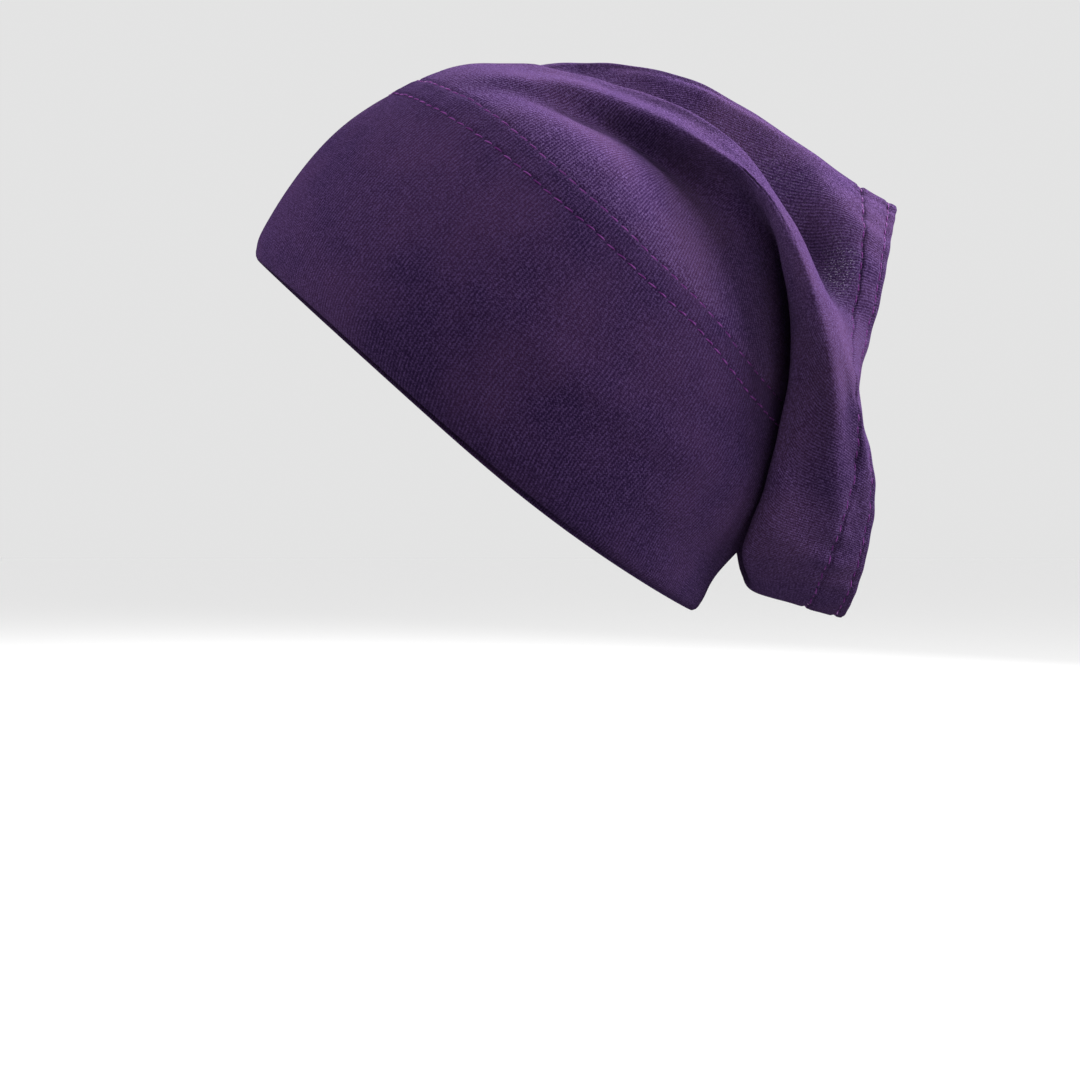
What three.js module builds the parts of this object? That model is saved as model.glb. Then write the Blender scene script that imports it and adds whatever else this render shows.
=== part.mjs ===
// A tube underscarf of cotton jersey, in its worn form. A wide doubled band grips at the front,
// and the single tube sewn behind it is slack: it makes a roll over the crown, folds in at the
// back and hangs down as a flap that ends in an open, turned-in hem.
//
// Millimetres. +X points to the back, +Z up and -Y to the left side as worn, which is the near
// side below. The origin is the centre of the front opening.
import * as THREE from "three";

const BAND_WALL = 2.0;
const TUBE_WALL = 1.2;
const HEM_WALL = 2.0;

// Places along the cloth, measured over the crown from the front edge.
const FRONT_EDGE = 0;
const BAND_END = 94.0;
const TUBE_START = 94.4;
const TUBE_END = 261.8;
const HEM_START = 262.2;
const HEM_END = 278;

const FACETS_ROUND = 64;
const CLOTH_PER_DEGREE = 1.15;
const SOFT_ALONG = 5;
const SOFT_TURN = 5;
const NORMAL_STEP = 4;

const BAND_COLOR = 0x33204a;
const TUBE_COLOR = 0x4a2c5c;
const HEM_COLOR = 0x452858;

function table(columns, rows) {
  return rows.map((row) => Object.fromEntries(columns.map((name, i) => [name, row[i]])));
}

// One row for each section across the tube. A section is a loop between a top point on the
// crown side and a low point on the underside, in the plane between left and right. near and
// far are its half widths, bows move its sides back along the tube above and below its
// middle, and a pinch over 1 makes the loop narrow there, like a roof. lean carries the top
// away from the near side. steps is the number of facets up to the next section.
const SECTIONS = table(
  ["along", "topX", "topZ", "lowX", "lowZ", "near", "far", "topBow", "lowBow", "nearPinch", "lowPinch", "lean",
   "steps"],
  [
    [0, -77.1, 62.1, 77, -62.1, 71, 71, -3, -7, 0.95, 1, 0, 1],
    [5, -78.9, 66.6, 81, -60.5, 73, 73, -3, -6, 0.95, 1, 0, 1],
    [13, -75, 74.5, 83.3, -53, 75, 75, -3, -5, 0.95, 1, 0, 1],
    [24, -69.5, 83.5, 91.8, -43, 77, 77, -2, -5, 0.95, 1, 0, 2],
    [50, -54, 104, 105.1, -29.3, 78, 78, 2, -6, 1, 1, 0, 3],
    [85, -25.6, 123.3, 114.1, -4.9, 73, 73, 7, -8, 1, 1, 0, 2],
    [105, -7, 131.5, 116.5, 14, 66, 66, 5, -8, 1.05, 1, 2, 2],
    [125, 12.8, 135.5, 116, 34, 54, 55, 0, -4, 1.5, 1, 5, 4],
    [143, 31, 138.3, 116.5, 49, 46, 47, -4, 0, 2, 1, 8, 4],
    [162, 50, 139, 121.5, 38, 48, 49, 0, 0, 2.2, 1, 12, 3],
    [186, 74, 135, 120, 12, 54, 53, 4, -4, 2.3, 1, 13, 3],
    [210, 97, 124, 112.5, -22, 59, 58, 7, -8, 2.3, 1, 13, 3],
    [227, 111.5, 114, 100, -43.5, 60, 61, 12, -10, 2.2, 1, 13, 3],
    [240, 122.5, 106.5, 97.5, -54, 60, 61, 11, -6, 2.1, 1.05, 12, 3],
    [252, 132, 99.7, 107, -57.5, 57, 58, 5, -2, 2, 1.1, 12, 2],
    [262, 140.5, 93.8, 118.8, -60.7, 51, 54, -2, 3, 2, 1.2, 11, 3],
    [278, 154, 85.4, 131.8, -64.6, 38, 44, -10, 2, 1.9, 1.3, 11, 1],
  ],
);
const FAR_PINCH = 1.05;
const ROUND_SHARE = 0.2;

// Folds that run along the tube. Each row gives the fold's middle, as degrees of turn round
// the tube from its top, its width, and how far it pushes the cloth out, up and back.
const LONG_COLUMNS = ["along", "middle", "wide", "out", "up", "back"];
const LONG_FOLDS = [
  { name: "near roll", side: "near", rows: table(LONG_COLUMNS, [
    [98, 6, 8, 0, 0, 0],
    [122, 20, 12, 6, -3, 0],
    [140, 33, 16, 11, -5, 0],
    [160, 47, 20, 13, -6, 0],
    [182, 58, 25, 14, -6, 0],
    [205, 65, 26, 13, -6, 0],
    [225, 73, 24, 11, -6, 0],
    [245, 82, 22, 9, -5, 0],
    [262, 90, 20, 5, -4, 0],
    [278, 96, 20, 2, -2, 0],
  ]) },
  { name: "near valley", side: "near", rows: table(LONG_COLUMNS, [
    [110, 3, 7, 0, 0, 0],
    [135, 14, 12, -3, -5, 0],
    [160, 29, 14, -8, -13, 0],
    [185, 38, 16, -11, -19, 0],
    [210, 44, 17, -12, -20, 0],
    [235, 53, 17, -11, -16, 0],
    [250, 60, 17, -9, -11, 0],
    [264, 66, 16, -7, -7, 0],
    [278, 72, 16, -5, -4, 0],
  ]) },
  { name: "near waist", side: "near", rows: table(LONG_COLUMNS, [
    [180, 94, 26, 0, 0, 0],
    [210, 97, 28, 0, 0, 2],
    [232, 100, 28, 0, 0, 6],
    [250, 102, 26, 0, 0, 5],
    [272, 102, 24, 0, 0, 0],
  ]) },
  { name: "near hem dent", side: "near", rows: table(LONG_COLUMNS, [
    [246, 80, 18, 0, 0, 0],
    [262, 86, 20, 0, 0, -5],
    [278, 88, 20, 0, 0, -8],
  ]) },
  { name: "far roll", side: "far", rows: table(LONG_COLUMNS, [
    [100, 352, 9, 0, 0, 0],
    [145, 332, 14, 6, 1, 0],
    [190, 314, 18, 9, 1, 0],
    [225, 302, 18, 6, 1, 0],
    [255, 285, 18, 0, 0, 0],
  ]) },
];

// Folds that run round the tube, where the flap folds in at the back. Each row gives the
// fold's middle along the tube at a turn.
const ROUND_COLUMNS = ["turn", "middle", "wide", "out", "up", "back"];
const ROUND_FOLDS = [
  { name: "near groove", side: "near", rows: table(ROUND_COLUMNS, [
    [38, 96, 8, 0, 0, 0],
    [50, 108, 10, -4, -3, 0],
    [62, 122, 12, -8, -5, 0],
    [74, 132, 13, -11, -5, 0],
    [86, 135, 15, -12, -2, 0],
    [102, 130, 17, -9, 0, 0],
    [124, 122, 18, 0, 0, 0],
  ]) },
  { name: "far groove", side: "far", rows: table(ROUND_COLUMNS, [
    [240, 116, 16, 0, 0, 0],
    [262, 130, 15, -5, 0, 0],
    [285, 139, 14, -6, -2, 0],
    [310, 139, 12, -4, -2, 0],
    [332, 132, 10, 0, 0, 0],
  ]) },
];

// A smooth curve through the rows of a table: its slope at a row comes from both neighbours.
function through(rows, key, value, at) {
  const last = rows.length - 2;
  let i = 0;
  while (i < last && at >= rows[i + 1][key]) i += 1;
  const span = rows[i + 1][key] - rows[i][key];
  const t = THREE.MathUtils.clamp((at - rows[i][key]) / span, 0, 1);
  const rise = (k) => (rows[k + 1][value] - rows[k][value]) / (rows[k + 1][key] - rows[k][key]);
  const slope = (k) => {
    if (k === 0) return rise(0);
    if (k === rows.length - 1) return rise(k - 1);
    const before = rows[k][key] - rows[k - 1][key];
    const after = rows[k + 1][key] - rows[k][key];
    return (rise(k - 1) * after + rise(k) * before) / (before + after);
  };
  const t2 = t * t;
  const t3 = t2 * t;
  return (2 * t3 - 3 * t2 + 1) * rows[i][value] + (t3 - 2 * t2 + t) * span * slope(i)
    + (3 * t2 - 2 * t3) * rows[i + 1][value] + (t3 - t2) * span * slope(i + 1);
}

// How far a fold moves the cloth at a place: a bell shape across the fold's middle line.
function foldPush(fold, key, at, across, clothPerUnit) {
  const rows = fold.rows;
  if (at < rows[0][key] || at > rows[rows.length - 1][key]) return { out: 0, up: 0, back: 0 };
  const off = (across - through(rows, key, "middle", at)) * clothPerUnit;
  const bell = Math.exp(-((off / through(rows, key, "wide", at)) ** 2));
  return {
    out: bell * through(rows, key, "out", at),
    up: bell * through(rows, key, "up", at),
    back: bell * through(rows, key, "back", at),
  };
}

// The outer face before its creases are rounded. turn is in degrees: 0 at the top, 90 at the
// near side.
function creasedPoint(along, turn) {
  const size = (name) => through(SECTIONS, "along", name, along);
  const sideways = Math.sin(THREE.MathUtils.degToRad(turn));
  const upways = Math.cos(THREE.MathUtils.degToRad(turn));
  const near = sideways >= 0;
  const middle = new THREE.Vector2((size("topX") + size("lowX")) / 2, (size("topZ") + size("lowZ")) / 2);
  const toTop = new THREE.Vector2((size("topX") - size("lowX")) / 2, (size("topZ") - size("lowZ")) / 2);
  const up = toTop.clone().normalize();
  const back = new THREE.Vector2(up.y, -up.x);
  const topShare = THREE.MathUtils.smoothstep(upways, -1, 1);
  const topPinch = near ? size("nearPinch") : Math.min(size("nearPinch"), FAR_PINCH);
  const pinch = THREE.MathUtils.lerp(size("lowPinch"), topPinch, topShare);
  const bow = THREE.MathUtils.lerp(size("lowBow"), size("topBow"), topShare) * sideways * sideways;
  const roundness = Math.abs(sideways);
  const fullness = THREE.MathUtils.lerp(roundness ** pinch, roundness, ROUND_SHARE);
  const outward = (near ? -size("near") : size("far")) * fullness;
  const profile = middle.addScaledVector(toTop, upways).addScaledVector(back, bow);
  const point = new THREE.Vector3(profile.x, outward + size("lean") * topShare, profile.y);
  const pushes = [
    ...LONG_FOLDS.map((fold) => [fold, foldPush(fold, "along", along, turn, CLOTH_PER_DEGREE)]),
    ...ROUND_FOLDS.map((fold) => [fold, foldPush(fold, "turn", turn, along, 1)]),
  ];
  for (const [fold, push] of pushes) {
    point.x += up.x * push.up + back.x * push.back;
    point.y += (fold.side === "near" ? -1 : 1) * push.out;
    point.z += up.y * push.up + back.y * push.back;
  }
  return point;
}

// The outer face of the cloth: each place is averaged with its neighbours, so no crease is
// tighter than the cloth can bend.
function clothPoint(along, turn) {
  const reach = Math.max(0, Math.min(SOFT_ALONG, along - FRONT_EDGE, HEM_END - along));
  const point = new THREE.Vector3();
  for (const [alongSide, alongShare] of [[-1, 0.25], [0, 0.5], [1, 0.25]]) {
    for (const [turnSide, turnShare] of [[-1, 0.25], [0, 0.5], [1, 0.25]]) {
      const nearby = (turn + turnSide * SOFT_TURN + 360) % 360;
      point.addScaledVector(creasedPoint(along + alongSide * reach, nearby), alongShare * turnShare);
    }
  }
  return point;
}

function clothNormal(along, turn) {
  const round = clothPoint(along, turn + NORMAL_STEP).sub(clothPoint(along, turn - NORMAL_STEP));
  const length = clothPoint(along + NORMAL_STEP, turn).sub(clothPoint(along - NORMAL_STEP, turn));
  return round.cross(length).normalize();
}

// The facet rows of one piece: its ends, and the even steps between sections that lie inside.
function stations(start, end) {
  const between = [];
  for (let i = 0; i < SECTIONS.length - 1; i += 1) {
    const { along, steps } = SECTIONS[i];
    const next = SECTIONS[i + 1].along;
    for (let k = 0; k < steps; k += 1) between.push(along + ((next - along) * k) / steps);
  }
  const clear = 1.5;
  return [start, ...between.filter((s) => s > start + clear && s < end - clear), end];
}

// A closed ring of cloth with an outer face, an inner face a wall further in, and two rims.
function clothRing(start, end, wall) {
  const rows = stations(start, end);
  const positions = [];
  for (const along of rows) {
    for (let j = 0; j < FACETS_ROUND; j += 1) {
      const turn = (360 * j) / FACETS_ROUND;
      const outer = clothPoint(along, turn);
      const inner = outer.clone().addScaledVector(clothNormal(along, turn), -wall);
      positions.push(...outer.toArray(), ...inner.toArray());
    }
  }
  const outerAt = (i, j) => 2 * (i * FACETS_ROUND + (j % FACETS_ROUND));
  const innerAt = (i, j) => outerAt(i, j) + 1;
  const faces = [];
  for (let i = 0; i < rows.length - 1; i += 1) {
    for (let j = 0; j < FACETS_ROUND; j += 1) {
      faces.push(outerAt(i, j), outerAt(i, j + 1), outerAt(i + 1, j + 1));
      faces.push(outerAt(i, j), outerAt(i + 1, j + 1), outerAt(i + 1, j));
      faces.push(innerAt(i, j), innerAt(i + 1, j + 1), innerAt(i, j + 1));
      faces.push(innerAt(i, j), innerAt(i + 1, j), innerAt(i + 1, j + 1));
    }
  }
  const last = rows.length - 1;
  for (let j = 0; j < FACETS_ROUND; j += 1) {
    faces.push(outerAt(0, j), innerAt(0, j), outerAt(0, j + 1));
    faces.push(outerAt(0, j + 1), innerAt(0, j), innerAt(0, j + 1));
    faces.push(outerAt(last, j), outerAt(last, j + 1), innerAt(last, j));
    faces.push(outerAt(last, j + 1), innerAt(last, j + 1), innerAt(last, j));
  }
  const geometry = new THREE.BufferGeometry();
  geometry.setAttribute("position", new THREE.Float32BufferAttribute(positions, 3));
  geometry.setIndex(faces);
  geometry.computeVertexNormals();
  return geometry;
}

function jersey(color) {
  return new THREE.MeshStandardMaterial({ color, roughness: 0.9, metalness: 0 });
}

function frontBand() {
  const mesh = new THREE.Mesh(clothRing(FRONT_EDGE, BAND_END, BAND_WALL), jersey(BAND_COLOR));
  mesh.name = "front_band";
  return mesh;
}

function tubeBody() {
  const mesh = new THREE.Mesh(clothRing(TUBE_START, TUBE_END, TUBE_WALL), jersey(TUBE_COLOR));
  mesh.name = "tube_body";
  return mesh;
}

function backHem() {
  const mesh = new THREE.Mesh(clothRing(HEM_START, HEM_END, HEM_WALL), jersey(HEM_COLOR));
  mesh.name = "back_hem";
  return mesh;
}

const underscarf = new THREE.Group();
underscarf.name = "tube_underscarf";
underscarf.add(frontBand(), tubeBody(), backHem());

export default underscarf;
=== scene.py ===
# %% [markdown]
# # A tube underscarf of cotton jersey, in its worn form
#
# The real thing is an open tube sewn from fine knitted jersey. Its front 94 mm are doubled and
# grip when it is worn. The rest is one layer, is slack, and hangs at the back as a flap with
# an open hem. This lesson loads the solids that carry the form, then dresses each of the three
# rings of cloth with a fine surface, its stitches and a jersey finish.

# %% Load the frame
import math

import bpy
import numpy as np
from mathutils import Matrix, Vector


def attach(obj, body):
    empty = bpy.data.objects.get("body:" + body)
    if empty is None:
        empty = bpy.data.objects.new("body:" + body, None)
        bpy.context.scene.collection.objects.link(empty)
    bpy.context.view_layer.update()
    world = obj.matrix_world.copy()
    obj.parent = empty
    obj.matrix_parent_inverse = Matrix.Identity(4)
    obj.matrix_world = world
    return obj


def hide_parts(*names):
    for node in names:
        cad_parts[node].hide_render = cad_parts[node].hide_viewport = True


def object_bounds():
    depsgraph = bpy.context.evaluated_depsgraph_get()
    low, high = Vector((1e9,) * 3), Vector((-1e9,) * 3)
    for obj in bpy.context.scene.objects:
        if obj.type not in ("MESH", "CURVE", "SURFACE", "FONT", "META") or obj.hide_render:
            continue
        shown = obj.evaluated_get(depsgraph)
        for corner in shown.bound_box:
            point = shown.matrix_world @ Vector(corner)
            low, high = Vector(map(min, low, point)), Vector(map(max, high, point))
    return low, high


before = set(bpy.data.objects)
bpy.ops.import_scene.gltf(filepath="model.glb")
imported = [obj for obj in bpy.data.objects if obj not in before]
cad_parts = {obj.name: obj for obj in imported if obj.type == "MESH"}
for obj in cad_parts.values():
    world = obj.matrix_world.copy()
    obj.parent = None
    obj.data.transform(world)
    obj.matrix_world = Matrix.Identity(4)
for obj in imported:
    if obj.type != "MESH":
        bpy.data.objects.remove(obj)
solid_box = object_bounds()
bpy.ops.object.select_all(action="DESELECT")
print("solids", sorted(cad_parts), "box", solid_box)

# %% [markdown]
# ## The camera
#
# The photograph was taken from the left, level with the lower part of the cloth, and from
# close by: the parts that come towards the lens are drawn larger. A lens could be guessed by
# eye. Here it follows from the size of a pixel on the object, 0.36 mm, and a distance of
# 550 mm, so that the cloth keeps the photograph's perspective as well as its outline.

# %% Camera at the photograph's viewing angle
MM = 0.001
PICTURE_PIXELS = 1080
PIXEL = 0.36 * MM
CAMERA_DISTANCE = 0.55
SENSOR = 36.0
PICTURE_MIDDLE_X = 0.02304
PICTURE_MIDDLE_Z = -0.03654
NEAREST_SEEN = 0.01

bpy.ops.object.camera_add(location=(PICTURE_MIDDLE_X, -CAMERA_DISTANCE, PICTURE_MIDDLE_Z),
                          rotation=(math.pi / 2, 0, 0))
camera = bpy.context.object
camera.data.sensor_width = SENSOR
camera.data.lens = SENSOR * CAMERA_DISTANCE / (PICTURE_PIXELS * PIXEL)
camera.data.clip_start = NEAREST_SEEN
bpy.context.scene.camera = camera
print(f"lens {camera.data.lens:.1f} mm")

# %% [markdown]
# ## The sections of the cloth
#
# A slack tube could be draped by simulation, but nothing would then lead its folds to the
# places where they lie in the photograph. So the cloth is one smooth surface instead: a row of
# the table for each loop across the tube, and a curve through the rows. A place on the cloth
# has two numbers: along, in millimetres from the front edge over the crown, and turn, in
# degrees round the tube, 0 at the top, 90 on the left, which is the near side, and 270 on the
# right, the far side.

# %% Table of sections, in millimetres
TUBE_LENGTH = 278.0
SECTION_COLUMNS = ("along", "top_x", "top_z", "low_x", "low_z", "near", "far", "top_bow", "low_bow",
                   "near_pinch", "low_pinch", "lean")
SECTIONS = np.array([
    [0, -77.1, 62.1, 77.0, -62.1, 71, 71, -3, -7, 0.95, 1.0, 0],
    [5, -78.9, 66.6, 81.0, -60.5, 73, 73, -3, -6, 0.95, 1.0, 0],
    [13, -75.0, 74.5, 83.3, -53.0, 75, 75, -3, -5, 0.95, 1.0, 0],
    [24, -69.5, 83.5, 91.8, -43.0, 77, 77, -2, -5, 0.95, 1.0, 0],
    [50, -54.0, 104.0, 105.1, -29.3, 78, 78, 2, -6, 1.0, 1.0, 0],
    [85, -25.6, 123.3, 114.1, -4.9, 73, 73, 7, -8, 1.0, 1.0, 0],
    [105, -7.0, 131.5, 116.5, 14.0, 66, 66, 5, -8, 1.05, 1.0, 2],
    [125, 12.8, 135.5, 116.0, 34.0, 54, 55, 0, -4, 1.5, 1.0, 5],
    [143, 31.0, 138.3, 116.5, 49.0, 46, 47, -4, 0, 2.0, 1.0, 8],
    [162, 50.0, 139.0, 121.5, 38.0, 48, 49, 0, 0, 2.2, 1.0, 12],
    [186, 74.0, 135.0, 120.0, 12.0, 54, 53, 4, -4, 2.3, 1.0, 13],
    [210, 97.0, 124.0, 112.5, -22.0, 59, 58, 7, -8, 2.3, 1.0, 13],
    [227, 111.5, 114.0, 100.0, -43.5, 60, 61, 12, -10, 2.2, 1.0, 13],
    [240, 122.5, 106.5, 97.5, -54.0, 60, 61, 11, -6, 2.1, 1.05, 12],
    [252, 132.0, 99.7, 107.0, -57.5, 57, 58, 5, -2, 2.0, 1.1, 12],
    [262, 140.5, 93.8, 118.8, -60.7, 51, 54, -2, 3, 2.0, 1.2, 11],
    [278, 154.0, 85.4, 131.8, -64.6, 38, 44, -10, 2, 1.9, 1.3, 11],
], dtype=float)
FAR_PINCH = 1.05
ROUND_SHARE = 0.2


def tell(title, columns, rows):
    """Print how many rows a table has, and what its columns are."""
    print(f"{title}: {len(rows)} rows of {', '.join(columns)}")


tell("sections", SECTION_COLUMNS, SECTIONS)

# %% [markdown]
# ## The main folds
#
# Slack jersey falls in a few broad folds: a roll from the crown down the near side, a valley
# behind it, and a groove where the flap tucks in at the back. They could be sculpted by hand,
# but a table can be read and changed. Each fold is a bell shape across a middle line that
# wanders over the cloth. A row says where the line is, how wide the bell is, and how far it
# pushes the cloth out, up and back. The far side can't be seen in the photograph and gets a
# plainer roll and groove of the same kind.

# %% Tables of folds
CLOTH_PER_DEGREE = 1.15
FOLD_COLUMNS = ("at", "middle", "wide", "out", "up", "back")
LONG_FOLDS = {
    ("roll", "near"): [
        (98, 6, 8, 0, 0, 0), (122, 20, 12, 6, -3, 0), (140, 33, 16, 11, -5, 0),
        (160, 47, 20, 13, -6, 0), (182, 58, 25, 14, -6, 0), (205, 65, 26, 13, -6, 0),
        (225, 73, 24, 11, -6, 0), (245, 82, 22, 9, -5, 0), (262, 90, 20, 5, -4, 0),
        (278, 96, 20, 2, -2, 0)],
    ("valley", "near"): [
        (110, 3, 7, 0, 0, 0), (135, 14, 12, -3, -5, 0), (160, 29, 14, -8, -13, 0),
        (185, 38, 16, -11, -19, 0), (210, 44, 17, -12, -20, 0), (235, 53, 17, -11, -16, 0),
        (250, 60, 17, -9, -11, 0), (264, 66, 16, -7, -7, 0), (278, 72, 16, -5, -4, 0)],
    ("waist", "near"): [
        (180, 94, 26, 0, 0, 0), (210, 97, 28, 0, 0, 2), (232, 100, 28, 0, 0, 6),
        (250, 102, 26, 0, 0, 5), (272, 102, 24, 0, 0, 0)],
    ("hem dent", "near"): [
        (246, 80, 18, 0, 0, 0), (262, 86, 20, 0, 0, -5), (278, 88, 20, 0, 0, -8)],
    ("lip end", "near"): [
        (222, 144, 12, 0, 0, 0), (232, 149, 13, 0, 0, -5), (241, 152, 14, 2, 0, -7),
        (251, 150, 14, 1, 0, -4), (263, 146, 12, 0, 0, 0)],
    ("far roll", "far"): [
        (100, 352, 9, 0, 0, 0), (145, 332, 14, 6, 1, 0), (190, 314, 18, 9, 1, 0),
        (225, 302, 18, 6, 1, 0), (255, 285, 18, 0, 0, 0)],
}
ROUND_FOLDS = {
    ("groove", "near"): [
        (38, 96, 8, 0, 0, 0), (50, 108, 10, -4, -3, 0), (62, 122, 12, -8, -5, 0),
        (74, 132, 13, -11, -5, 0), (86, 135, 15, -12, -2, 0), (102, 130, 17, -9, 0, 0),
        (124, 122, 18, 0, 0, 0)],
    ("far groove", "far"): [
        (240, 116, 16, 0, 0, 0), (262, 130, 15, -5, 0, 0), (285, 139, 14, -6, -2, 0),
        (310, 139, 12, -4, -2, 0), (332, 132, 10, 0, 0, 0)],
}
print("folds", [name for name, side in LONG_FOLDS] + [name for name, side in ROUND_FOLDS])

# %% [markdown]
# ## From the tables to a surface
#
# A curve through the rows takes its slope at each row from both neighbours, so the cloth has
# no corners between sections. Every place is then averaged with its neighbours 5 mm and 5
# degrees away, because knitted cloth can't hold a sharper crease than that. A modifier could
# smooth the mesh instead, but it would shrink the outline.

# %% A smooth curve through a table
def through(rows, at, column):
    """A smooth curve through one column of a table, read at some places of its first column."""
    x = rows[:, 0]
    y = rows[:, column]
    run = np.diff(x)
    rise = np.diff(y) / run
    slope = np.empty(len(x))
    slope[0] = rise[0]
    slope[-1] = rise[-1]
    slope[1:-1] = (rise[:-1] * run[1:] + rise[1:] * run[:-1]) / (run[:-1] + run[1:])
    i = np.clip(np.searchsorted(x, at, side="right") - 1, 0, len(x) - 2)
    t = np.clip((at - x[i]) / run[i], 0, 1)
    left = (2 * t**3 - 3 * t**2 + 1) * y[i] + (t**3 - 2 * t**2 + t) * run[i] * slope[i]
    right = (3 * t**2 - 2 * t**3) * y[i + 1] + (t**3 - t**2) * run[i] * slope[i + 1]
    return left + right


def section(name, along):
    return through(SECTIONS, along, SECTION_COLUMNS.index(name))


TOLD_ALONG = 50.0
print(f"top of the section {TOLD_ALONG:.0f} mm along: {section('top_z', TOLD_ALONG):.1f} mm high")

# %% How a fold pushes the cloth
def fold_push(rows, at, across, cloth_per_unit):
    """How far a fold pushes the cloth out, up and back at a place."""
    rows = np.array(rows, dtype=float)
    middle, wide, out, up, back = [through(rows, at, k) for k in range(1, len(FOLD_COLUMNS))]
    bell = np.exp(-((across - middle) * cloth_per_unit / wide) ** 2)
    bell = np.where((at >= rows[0, 0]) & (at <= rows[-1, 0]), bell, 0)
    return out * bell, up * bell, back * bell


roll_push = fold_push(LONG_FOLDS["roll", "near"], 182.0, 58.0, CLOTH_PER_DEGREE)
print("the roll pushes out, up and back", [round(float(push), 1) for push in roll_push])

# %% Loops across the tube
def section_plane(along):
    """Each section's middle and half its height, and the ways up and back, all as x and z."""
    top = section("top_x", along), section("top_z", along)
    low = section("low_x", along), section("low_z", along)
    middle = (top[0] + low[0]) / 2, (top[1] + low[1]) / 2
    half = (top[0] - low[0]) / 2, (top[1] - low[1]) / 2
    reach = np.hypot(*half)
    up = half[0] / reach, half[1] / reach
    back = up[1], -up[0]
    return middle, half, up, back


def plain_cloth(along, turn):
    """The loops before the folds, as x, y and z in millimetres."""
    sideways = np.sin(np.radians(turn))
    upways = np.cos(np.radians(turn))
    near = sideways >= 0
    middle, half, up, back = section_plane(along)
    share = (upways + 1) / 2
    share = share * share * (3 - 2 * share)
    top_pinch = section("near_pinch", along)
    top_pinch = np.where(near, top_pinch, np.minimum(top_pinch, FAR_PINCH))
    low_pinch = section("low_pinch", along)
    pinch = low_pinch + (top_pinch - low_pinch) * share
    fullness = ROUND_SHARE * np.abs(sideways) + (1 - ROUND_SHARE) * np.abs(sideways) ** pinch
    low_bow = section("low_bow", along)
    bow = (low_bow + (section("top_bow", along) - low_bow) * share) * sideways**2
    x = middle[0] + half[0] * upways + back[0] * bow
    z = middle[1] + half[1] * upways + back[1] * bow
    y = np.where(near, -section("near", along), section("far", along)) * fullness
    y = y + section("lean", along) * share
    return x, y, z


side_place = plain_cloth(TOLD_ALONG, 90.0)[1]
print(f"near side {TOLD_ALONG:.0f} mm along: {-side_place:.0f} mm out")

# %% The folds on the loops
def creased_cloth(along, turn):
    """The outer face before its creases are rounded, in millimetres."""
    x, y, z = plain_cloth(along, turn)
    up, back = section_plane(along)[2:]
    pushes = [(side, fold_push(rows, along, turn, CLOTH_PER_DEGREE))
              for (name, side), rows in LONG_FOLDS.items()]
    pushes += [(side, fold_push(rows, turn, along, 1.0))
               for (name, side), rows in ROUND_FOLDS.items()]
    for side, (out, rise, sweep) in pushes:
        y = y + (-out if side == "near" else out)
        x = x + up[0] * rise + back[0] * sweep
        z = z + up[1] * rise + back[1] * sweep
    return np.stack(np.broadcast_arrays(x, y, z), axis=-1)


valley = creased_cloth(185.0, 38.0)
print("floor of the valley", valley.round(1))

# %% Creases as round as cloth allows
SOFT_ALONG = 5.0
SOFT_TURN = 5.0
SOFTENING = ((-1, 0.25), (0, 0.5), (1, 0.25))


def worn_cloth(along, turn):
    """The outer face of the cloth, for a column of alongs and a row of turns."""
    reach = np.clip(np.minimum(along, TUBE_LENGTH - along), 0, SOFT_ALONG)
    total = 0
    for i, along_share in SOFTENING:
        for j, turn_share in SOFTENING:
            place = creased_cloth(along + i * reach, (turn + j * SOFT_TURN) % 360)
            total = total + along_share * turn_share * place
    return total


front_edge = worn_cloth(np.array([[0.0]]), np.arange(0, 360, 2.0)[None, :])[0]
front_round = np.linalg.norm(np.roll(front_edge, -1, axis=0) - front_edge, axis=-1).sum()
print(f"front edge {front_round:.0f} mm round")

# %% Ways over the cloth
NORMAL_STEP = 4.0


def cloth_directions(along, turn):
    """Straight out of the cloth, and along it towards the hem."""
    after = np.minimum(along + NORMAL_STEP, TUBE_LENGTH)
    before = np.maximum(along - NORMAL_STEP, 0)
    round_way = worn_cloth(along, turn + NORMAL_STEP) - worn_cloth(along, turn - NORMAL_STEP)
    long_way = worn_cloth(after, turn) - worn_cloth(before, turn)
    normal = np.cross(round_way, long_way)
    normal = normal / np.linalg.norm(normal, axis=-1, keepdims=True)
    return normal, long_way / np.linalg.norm(long_way, axis=-1, keepdims=True)


crown_normal, crown_hemwards = cloth_directions(np.array([[TOLD_ALONG]]), np.array([[0.0]]))
print("out of the crown", crown_normal[0, 0].round(2), "hemwards", crown_hemwards[0, 0].round(2))

# %% [markdown]
# ## What the stitches do to the cloth
#
# The layers lap between the two rows of a seam, so a strip is raised there. Each row of
# stitches pulls a line in and puckers the cloth beside it, most of all at the hem. These
# could be painted as bump, but at this size they change the outline and the light, so they
# are moved in the mesh. Only the knit itself is left to the material.

# %% Rows of stitches and raised strips
STITCH_ROW_COLUMNS = ("along", "pull", "pucker", "ripple")
STITCH_ROWS = {
    "seam_front": (85.0, 0.35, 0.16, 11.5),
    "seam_back": (94.0, 0.25, 0.14, 12.5),
    "hem_inner": (262.0, 0.80, 0.34, 12.0),
    "hem_outer": (274.0, 0.55, 0.24, 13.0),
}
STRIP_COLUMNS = ("start", "end", "high")
SEAM_STRIP = (85.0, 94.0, 0.35)
HEM_STRIP = (262.0, 300.0, 0.30)
tell("stitch rows", STITCH_ROW_COLUMNS, STITCH_ROWS)
tell("raised strips", STRIP_COLUMNS, (SEAM_STRIP, HEM_STRIP))

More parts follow.
